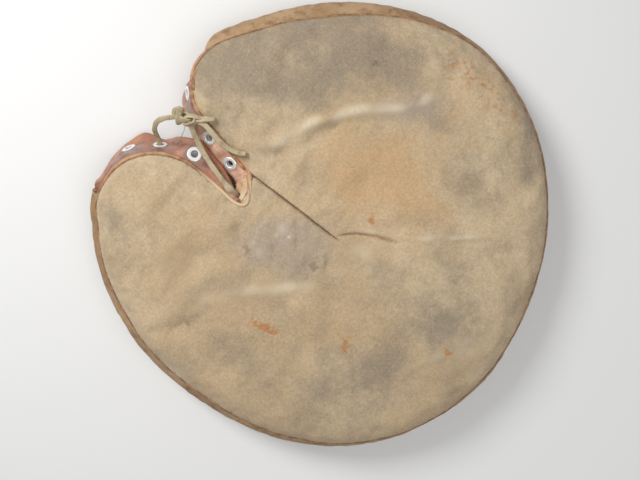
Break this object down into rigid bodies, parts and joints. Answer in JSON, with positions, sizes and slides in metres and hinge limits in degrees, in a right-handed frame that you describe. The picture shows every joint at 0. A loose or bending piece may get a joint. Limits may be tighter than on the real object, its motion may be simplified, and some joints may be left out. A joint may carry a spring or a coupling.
{
  "type": "trainer belly pad",
  "caption": "Round stuffed leather belly pad with a laced V notch in its rim, metal eyelets, sewn edge band and a fold line down its middle.",
  "frame": {"origin": "centre of the pad on its back face, on the fold line", "axes": "+Z out of the front face, +Y along the fold line towards the notch, +X towards the right lobe"},
  "size_m": [0.4123, 0.3975, 0.0582],
  "materials": {
    "face_leather": "worn buff suede, mottled",
    "back_leather": "worn tan leather, matt",
    "band_leather": "worn tan leather, slightly polished",
    "welt_leather": "rolled leather, matt",
    "facing_leather": "reddish-brown leather, satin",
    "tab_leather": "light tan leather, matt",
    "lace_leather": "rawhide thong, matt",
    "nickel": "nickel plated, dulled",
    "thread": "waxed thread",
    "canvas": "plain weave",
    "felt": "pressed felt",
    "hair": "loose hair stuffing"
  },
  "bodies": {
    "right_half": {"front_panel_right": "face_leather", "back_panel_right": "back_leather", "edge_band_right": "band_leather", "front_welt_right": "welt_leather", "back_welt_right": "welt_leather", "canvas_lining_right": "canvas", "felt_front_right": "felt", "hair_core_right": "hair", "felt_back_right": "felt", "notch_wall_right": "facing_leather", "right_wall_eyelet": "nickel", "right_wall_washer": "nickel", "lace_knot": "lace_leather"},
    "left_half": {"front_panel_left": "face_leather", "back_panel_left": "back_leather", "edge_band_left": "band_leather", "front_welt_left": "welt_leather", "back_welt_left": "welt_leather", "canvas_lining_left": "canvas", "felt_front_left": "felt", "hair_core_left": "hair", "felt_back_left": "felt", "notch_wall_left": "facing_leather", "left_wall_eyelets": "nickel", "left_wall_washers": "nickel", "notch_tab": "tab_leather", "notch_tab_stitches": "thread", "lace_loop": "lace_leather", "lace_run": "lace_leather"},
    "left_flap": {"left_flap": "facing_leather", "left_flap_eyelet": "nickel", "left_flap_washer": "nickel"},
    "right_flap": {"right_flap": "facing_leather", "right_flap_eyelets": "nickel", "right_flap_washers": "nickel"},
    "lace_tail": {"lace_tail": "lace_leather"}
  },
  "joints": [
    {"name": "pad_fold", "type": "hinge", "parent": "right_half", "child": "left_half", "pos_m": [0, 0, 0.046], "axis": [0, 1, 0], "range_deg": [0, 50]},
    {"name": "left_flap_flex", "type": "hinge", "parent": "left_half", "child": "left_flap", "pos_m": [-0.031, 0.11, 0.042], "axis": [0, 1, 0], "range_deg": [0, 30]},
    {"name": "right_flap_flex", "type": "hinge", "parent": "right_half", "child": "right_flap", "pos_m": [0.0035, 0.11, 0.042], "axis": [0, -1, 0], "range_deg": [0, 20]},
    {"name": "lace_tail_lift", "type": "hinge", "parent": "right_half", "child": "lace_tail", "pos_m": [0.0046, 0.136, 0.0494], "axis": [-1, 0, 0], "range_deg": [0, 70]}
  ]
}
